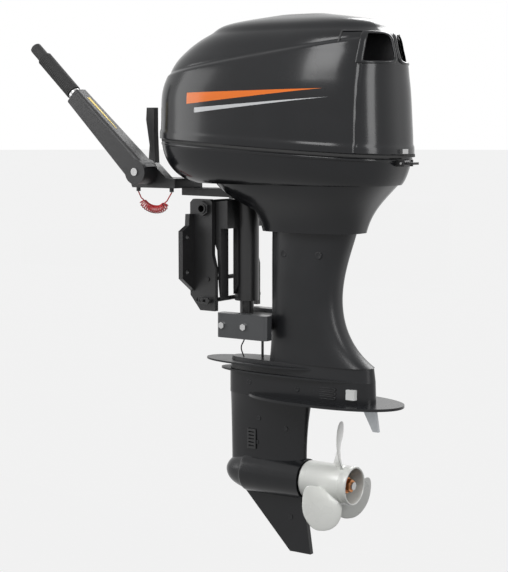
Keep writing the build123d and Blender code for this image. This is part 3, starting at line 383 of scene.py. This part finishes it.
# The x, z and radius of each, on the casting it closes.
plug_places = {
    "upper_case": [(0.226, 0.008, 0.0085), (0.318, 0.008, 0.0085)],
    "gearcase": [(0.128, -0.292, 0.0060), (0.262, -0.295, 0.0060), (0.150, -0.374, 0.0055),
                 (0.220, -0.392, 0.0055), (0.142, -0.432, 0.0050), (0.222, -0.600, 0.0060)],
}
for node, plugs in plug_places.items():
    tree = wall_of(node)
    for number, (x, z, radius) in enumerate(plugs):
        for side, word in ((-1, "port"), (1, "starboard")):
            hit = tree.ray_cast(Vector((x, side * 0.3, z)), Vector((0, -side, 0)))[0]
            if hit is None:
                continue
            head = [(-0.0015, radius), (0.0008, radius), (0.0014, radius * 0.93),
                    (0.0016, radius * 0.82), (0.0011, radius * 0.6), (0.0009, 0.0004)]
            points = turned(head, hit, (0, side, 0))
            plug = grid_piece(f"leg_plug_{node}_{number}_{word}", points, shut=True)
            dress(plug, leg_paint, "motor")


# ---- Exhaust relief slots ----
# Three slots through each side of the foot, in a thin moulded surround. The
# bars between them keep weed out.
slot_x, slot_z, slot_pitch = 0.338, -0.2870, 0.0095
slot_half_x, slot_half_z, surround = 0.023, 0.0028, 0.0010
tree = wall_of("gearcase")
for side, word in ((-1, "port"), (1, "starboard")):
    for number in range(3):
        z = slot_z - slot_pitch * number
        hit = tree.ray_cast(Vector((slot_x, side * 0.3, z)), Vector((0, -side, 0)))[0]
        if hit is None:
            continue
        # A bar carried round a long slot, standing out from the wall by the surround.
        way, bar = two_turns(64, 10)
        x = slot_x + slot_half_x * rounded(np.cos(way), 0.35) * (1 + 0.05 * np.cos(bar))
        up = z + slot_half_z * rounded(np.sin(way), 0.6) * (1 + 0.35 * np.cos(bar))
        points = closed(np.stack([x, hit.y + side * surround * np.sin(bar), up], axis=-1))
        slot = grid_piece(f"exhaust_slot_{word}_{number}", points if side < 0 else points[::-1])
        dress(slot, moulded_black, "motor")


# ---- Propeller ----
# One aluminium casting: a barrel for the exhaust, a core on webs, and broad
# rounded blades of constant pitch. It is ground smooth and enamelled off-white.
prop_axis = (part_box("propeller_shaft")[0][2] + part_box("propeller_shaft")[1][2]) / 2
barrel_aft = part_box("propeller")[1][0]
barrel_start, blade_x = barrel_aft - 0.124, barrel_aft - 0.044
blade_root, blade_tip, pitch = 0.0405, 0.141, 0.300
enamel = finish("off_white_enamel", (0.70, 0.71, 0.68), 0.28, coat=0.35, grain=300.0, bump=0.05, mottle=0.03)


def blade(turn):
    """A blade as rings round its section, from root to tip.

    The section is a lens set at the pitch angle. Its chord swells as a sine, and rounds off
    to the tip as the square root of one less the span to the power 4.5.
    """
    around = np.linspace(0, 2 * math.pi, 56, endpoint=False)
    span, around = np.meshgrid(np.linspace(0, 1, 56), around, indexing="ij")
    radius = blade_root + (blade_tip - blade_root) * span
    chord = 0.058 + 0.062 * np.sin(math.pi / 2 * np.clip(span / 0.62, 0, 1.35))
    chord = chord * np.maximum(1 - span**4.5, 0) ** 0.5
    thick = 0.0080 * (1 - span) + 0.0026 + 0.009 * np.exp(-span / 0.05)
    thick = thick * np.minimum(1, chord / 0.02)
    lie = np.arctan(pitch / (2 * math.pi * radius))
    along = chord / 2 * np.cos(around) + 0.014 * span**2
    out = thick / 2 * np.sin(around)
    x = blade_x - along * np.sin(lie) + out * np.cos(lie) + 0.004 * span
    aside = along * np.cos(lie) + out * np.sin(lie)
    swing = aside / radius
    y, z = radius * np.sin(swing), radius * np.cos(swing)
    sideways = y * math.cos(turn) - z * math.sin(turn)
    return np.stack([x, sideways, prop_axis + y * math.sin(turn) + z * math.cos(turn)], axis=-1)


for number in range(3):
    vane = grid_piece(f"propeller_blade_{number}", blade(2 * math.pi * number / 3), shut=True)
    dress(vane, enamel, "propeller")
    if number == 0:
        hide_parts("propeller")
# The barrel's wall and then the core's, as (along, radius) from the front.
hub = np.array([(0.0, 0.0395), (0.0, 0.0415), (0.003, 0.0432), (0.008, 0.0440), (0.100, 0.0440),
                (0.1015, 0.0434), (0.1035, 0.0434), (0.105, 0.0440), (0.122, 0.0440),
                (0.124, 0.0430), (0.124, 0.0400), (0.122, 0.0392), (0.0, 0.0392)])
barrel = turned(closed(hub)[::-1], (barrel_start, 0, prop_axis), (1, 0, 0), 96)
dress(grid_piece("propeller_barrel", barrel), enamel, "propeller")
sooty = finish("exhaust_stained_enamel", (0.16, 0.12, 0.085), 0.5, grain=500.0, bump=0.2, mottle=0.3)
core = np.array([(0.0, 0.0175), (0.0, 0.0210), (0.099, 0.0210), (0.101, 0.0198), (0.101, 0.0180),
                 (0.0, 0.0175)])
core_tube = turned(core[::-1], (barrel_start, 0, prop_axis), (1, 0, 0), 64)
dress(grid_piece("propeller_core", core_tube), sooty, "propeller")
# Each web is a flat bar with rounded edges from core to barrel, thinned at both ends.
for number in range(3):
    turn = 2 * math.pi * number / 3 + math.pi / 3
    around = np.linspace(0, 2 * math.pi, 24, endpoint=False)
    along, around = np.meshgrid(np.array([0.008, 0.010, 0.088, 0.092]), around, indexing="ij")
    thin = np.array([0.2, 1.0, 1.0, 0.2])[:, None]
    out = 0.0300 + 0.0094 * rounded(np.cos(around), 0.5)
    wide = 0.003 * rounded(np.sin(around), 0.5) * thin
    y = wide * math.cos(turn) - out * math.sin(turn)
    z = wide * math.sin(turn) + out * math.cos(turn)
    points = np.stack([barrel_start + along, y, prop_axis + z], axis=-1)
    web = grid_piece(f"propeller_web_{number}", points, shut=True)
    dress(web, sooty, "propeller")


# ---- Shafts, nut and other bright steel ----
# Machined steel, left bright: the propeller shaft and its nut, the pins, the
# collar on the tiller and the moving parts of the powerhead.
bright = finish("machined_steel", (0.50, 0.50, 0.50), 0.26, metal=1.0, grain=700.0, bump=0.1)
coat_nodes(bright, "mount_bolts", "latch_pin", "latch_catch", "tiller_pivot_pin", "lever_pivot_pin",
           "grip_collar", "driveshaft", "crankshaft", "propeller_shaft", "thrust_washer", "pinion",
           "forward_gear", "reverse_gear", "spark_plugs", "flywheel")
coppered = finish("coppered_nut", (0.55, 0.23, 0.09), 0.36, metal=1.0, grain=500.0, bump=0.15)
coat_nodes(coppered, "propeller_nut")
rough_alloy = finish("cast_alloy", (0.40, 0.41, 0.43), 0.5, metal=0.9, grain=480.0, bump=0.5)
coat_nodes(rough_alloy, "cylinder_block", "cylinder_head", "pistons", "carburettors",
           "bearing_carrier", "exhaust_guide")
zinc = finish("sacrificial_zinc", (0.50, 0.52, 0.54), 0.55,
              metal=0.7, grain=260.0, bump=0.7, mottle=0.25)
coat_nodes(zinc, "trim_tab")
anode_white = finish("anode_face", (0.74, 0.75, 0.74), 0.55, grain=500.0, bump=0.2, mottle=0.06)
coat_nodes(anode_white, "side_anodes")


# ---- Clamp brackets, swivel and lower mount ----
# Aluminium castings and steel forgings in satin black, the cast grain showing
# through. The mount covers are a lighter grey casting, and the mounts
# between them, the seal and the bush are black rubber.
bracket_black = finish("bracket_satin_black", (0.0075, 0.0075, 0.0080), 0.4, coat=0.1, grain=520.0, bump=0.35)
coat_nodes(bracket_black, "clamp_bracket_port", "clamp_bracket_starboard", "tilt_tube",
           "tilt_tube_nuts", "bracket_tie_rod", "trim_angle_rod", "swivel_bracket", "steering_yoke",
           "lower_yoke", "tiller_bracket", "latch_ears", "shift_rod", "starter_housing", "starter_ledges")
mount_grey = finish("mount_grey_paint", (0.045, 0.047, 0.050), 0.34, coat=0.2, grain=420.0, bump=0.25)
coat_nodes(mount_grey, "lower_mount_covers")
soft_black = finish("black_rubber", (0.013, 0.013, 0.013), 0.72, grain=800.0, bump=0.5)
coat_nodes(soft_black, "cowl_seal", "rubber_mounts", "propeller_bush", "earth_lead")


# ---- Tiller, grip and shift lever ----
# The tiller and the lever are moulded in textured black plastic. The grip is a
# ribbed rubber sleeve on the throttle shaft, narrower at its tip.
tiller_black = finish("tiller_textured_plastic", (0.016, 0.016, 0.017), 0.46, grain=1200.0, bump=0.55)
coat_nodes(tiller_black, "tiller_arm", "shift_lever")
twist = next(j for j in frame["joints"] if j["name"] == "throttle_twist")
grip_root, grip_way = np.array(twist["pos_m"]), np.array(twist["axis"])
grip_way = grip_way / np.linalg.norm(grip_way)
ribs_start, ribs_end, tip_start, tip_end = 0.276, 0.396, 0.402, 0.434
along = np.concatenate([[0.2745, 0.2750], np.linspace(ribs_start, ribs_end, 260),
                        [0.398, 0.399, 0.4000, 0.4005], np.linspace(tip_start, tip_end, 60),
                        [0.4370, 0.4388, 0.4398]])
# The radius is a cosine wave along the sleeve: deep ribs, then fine ones on the narrow tip.
ribbed = 0.0174 + 0.0006 * np.cos(2 * math.pi * (along - ribs_start) / 0.0050)
tip = 0.0138 + 0.0002 * np.cos(2 * math.pi * (along - tip_start) / 0.0040)
radius = np.where(along < 0.3985, ribbed, tip)
radius[0], radius[-3:] = 0.0150, [0.0132, 0.0112, 0.0070]
sleeve = turned(np.stack([along, radius], axis=1), grip_root, grip_way, 72)
rubber = finish("grip_rubber", (0.014, 0.014, 0.014), 0.66, grain=900.0, bump=0.35)
grip = grid_piece("grip_sleeve", sleeve, shut=True)
dress(grip, rubber, "grip")
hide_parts("throttle_grip")


# ---- Throttle index strip ----
# A narrow painted strip let into the tiller's upper facet, from thin slow to
# broad fast, in yellow.
side_way = np.array([0.0, 1.0, 0.0])
up_way = np.cross(grip_way, side_way)
up_way = up_way * (1 if up_way[2] > 0 else -1)
tree = wall_of("tiller_arm")
strip_start, strip_end, strip_lift = 0.120, 0.232, 0.0003
run = np.linspace(strip_start, strip_end, 24)
run, across = np.meshgrid(run, np.linspace(-1, 1, 7), indexing="ij")
half = 0.0015 + 0.0030 * (run - strip_start) / (strip_end - strip_start)
middle = grip_root + run[..., None] * grip_way + (across * half)[..., None] * side_way
# Each point is dropped from above on to the tiller.
tops = [tree.ray_cast(Vector(p + up_way * 0.08), Vector(-up_way))[0] or Vector(p)
        for p in middle.reshape(-1, 3)]
tops = np.array(tops).reshape(middle.shape)
strip_paint = finish("index_yellow", (0.80, 0.58, 0.03), 0.42, grain=600.0, bump=0.08, mottle=0.05)
strip = grid_piece("throttle_index_strip", tops + up_way * strip_lift, wrap=False)
dress(strip, strip_paint, "tiller")


# ---- Stop lanyard ----
# A coiled red cord of moulded plastic that hangs under the tiller bracket
# between its two anchors.
coil_low, coil_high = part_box("lanyard_coil")
seat_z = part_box("lanyard_tails")[1][2]
lanyard_y = (coil_low[1] + coil_high[1]) / 2
route = np.array([(-0.158, 0.130), (-0.146, 0.110), (-0.118, 0.098), (-0.090, 0.102), (-0.074, 0.124)])
reach = np.concatenate([[0], np.cumsum(np.hypot(*np.diff(route, axis=0).T))])


def run_up(end, before):
    """Where the line from one point of the route through its end comes up to the anchors."""
    return end + (end - before) / (end - before)[1] * (seat_z - 0.0008 - end[1])


def along_route(at):
    """The route's x and z at a distance along it."""
    return np.stack([smooth(at, reach, route[:, 0]), smooth(at, reach, route[:, 1])])


cord_radius, coil_radius, turns, per_turn = 0.0015, 0.0085, 15, 18
share = np.linspace(0, 1, turns * per_turn + 1)
# The coil swells from each end over a sixth of its length, as half a cosine wave, and turns
# faster as it swells. It is wound on the route, square to the way the route leads.
swell = 0.5 - 0.5 * np.cos(math.pi * np.minimum(1.0, np.minimum(6 * share, 6 * (1 - share))))
wound = np.concatenate([[0.0], np.cumsum(swell[:-1])]) / swell[:-1].sum()
here = reach[-1] * (0.05 + 0.90 * share)
x, z = along_route(here)
lead = along_route(here + 0.0005) - [x, z]
lead = lead / np.hypot(*lead)
angle = 2 * math.pi * turns * wound
out, aside = coil_radius * swell * np.cos(angle), coil_radius * swell * np.sin(angle)
places = np.stack([x - lead[1] * out, lanyard_y + aside, z + lead[0] * out], axis=-1).tolist()
(front_x, front_z), (aft_x, aft_z) = run_up(route[0], route[1]), run_up(route[-1], route[-2])
places = [(front_x, lanyard_y, front_z), *places, (aft_x, lanyard_y, aft_z)]
curve = bpy.data.curves.new("stop_lanyard", "CURVE")
curve.dimensions = "3D"
curve.bevel_depth, curve.bevel_resolution, curve.use_fill_caps = cord_radius, 3, True
line = curve.splines.new("NURBS")
line.points.add(len(places) - 1)
line.points.foreach_set("co", np.array([(*p, 1.0) for p in places]).ravel())
line.order_u, line.use_endpoint_u, line.resolution_u = 3, True, 3
lanyard = bpy.data.objects.new("stop_lanyard", curve)
bpy.context.scene.collection.objects.link(lanyard)
red = finish("lanyard_red", (0.62, 0.015, 0.02), 0.3, coat=0.3, grain=500.0, bump=0.05, mottle=0.05)
dress(lanyard, red, "motor")
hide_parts("lanyard_coil", "lanyard_tails")


# ---- Studio ----
# A pale round floor under the motor, with nothing standing round it, in plain
# soft light from a key, a fill, a quarter lamp and a starboard lamp.
floor_z = cad_box[0][2] - 0.001
way = np.linspace(0, 2 * math.pi, 96, endpoint=False)
ring, way = np.meshgrid(np.linspace(0.02, 60.0, 12), way, indexing="ij")
floor_points = np.stack([ring * np.cos(way), ring * np.sin(way), np.full_like(ring, floor_z)], axis=-1)
floor = grid_piece("studio_floor", floor_points, shut=True)


def pale_to_the_eye(nodes, links, most):
    """1 on rays from the camera, a mirror or glass, scaled by most, and 0 on the rays that carry light."""
    seen = nodes.new("ShaderNodeLightPath")
    either = None
    for kind in ("Is Camera Ray", "Is Glossy Ray", "Is Transmission Ray"):
        if either is None:
            either = seen.outputs[kind]
            continue
        join = nodes.new("ShaderNodeMath")
        join.operation = "MAXIMUM"
        links.new(either, join.inputs[0])
        links.new(seen.outputs[kind], join.inputs[1])
        either = join.outputs[0]
    scaled = nodes.new("ShaderNodeMath")
    scaled.operation = "MULTIPLY"
    scaled.inputs[1].default_value = most
    links.new(either, scaled.inputs[0])
    return scaled.outputs[0]


paper = bpy.data.materials.new("studio_paper")
paper.use_nodes = True
nodes, links = paper.node_tree.nodes, paper.node_tree.links
matt = nodes["Principled BSDF"]
matt.inputs["Base Color"].default_value = (0.8, 0.8, 0.8, 1)
matt.inputs["Roughness"].default_value = 0.95
glow = nodes.new("ShaderNodeEmission")
both = nodes.new("ShaderNodeMixShader")
links.new(pale_to_the_eye(nodes, links, 0.88), both.inputs["Fac"])
links.new(matt.outputs["BSDF"], both.inputs[1])
links.new(glow.outputs["Emission"], both.inputs[2])
links.new(both.outputs["Shader"], nodes["Material Output"].inputs["Surface"])
floor.data.materials.append(paper)

world = bpy.data.worlds.new("studio")
bpy.context.scene.world = world
world.use_nodes = True
nodes, links = world.node_tree.nodes, world.node_tree.links
soft = nodes["Background"]
soft.inputs["Strength"].default_value = 0.32
white = nodes.new("ShaderNodeBackground")
white.inputs["Color"].default_value = (1, 1, 1, 1)
soft.inputs["Color"].default_value = (1, 1, 1, 1)
either = nodes.new("ShaderNodeMixShader")
links.new(pale_to_the_eye(nodes, links, 1.0), either.inputs["Fac"])
links.new(soft.outputs["Background"], either.inputs[1])
links.new(white.outputs["Background"], either.inputs[2])
links.new(either.outputs["Shader"], nodes["World Output"].inputs["Surface"])


def lamp(name, at, target, size, watts):
    """A soft rectangular lamp that faces its target."""
    data = bpy.data.lights.new(name, "AREA")
    data.shape = "RECTANGLE"
    data.size, data.size_y, data.energy = size[0], size[1], watts
    made = bpy.data.objects.new(name, data)
    made.location = at
    away = np.array(at) - np.array(target)
    yaw = math.atan2(away[0], -away[1])
    made.rotation_euler = (math.atan2(math.hypot(away[0], away[1]), away[2]), 0, yaw)
    bpy.context.scene.collection.objects.link(made)


lamp("key", (0.2, -2.6, 2.2), (0.15, 0, 0.1), (1.6, 1.6), 60)
lamp("fill", (-2.6, -1.6, 0.8), (0.15, 0, 0), (1.4, 2.0), 24)
lamp("quarter", (2.8, -0.6, 1.0), (0.2, 0, 0), (0.9, 2.0), 34)
lamp("starboard", (-0.2, 2.8, 2.0), (0.15, 0, 0.1), (1.8, 1.8), 52)

azimuth, elevation, distance = math.radians(35), math.radians(6), 3.5
target = np.array([0.115, 0.0, -0.075])
level = np.array([math.sin(azimuth), -math.cos(azimuth), 0.0]) * math.cos(elevation)
back = level + [0.0, 0.0, math.sin(elevation)]
view = bpy.data.cameras.new("view")
view.lens = 95.8
camera = bpy.data.objects.new("view", view)
camera.location = target + back * distance
camera.rotation_euler = (math.pi / 2 - elevation, 0, azimuth)
bpy.context.scene.collection.objects.link(camera)
bpy.context.scene.camera = camera
bpy.context.scene.view_settings.view_transform = "Standard"
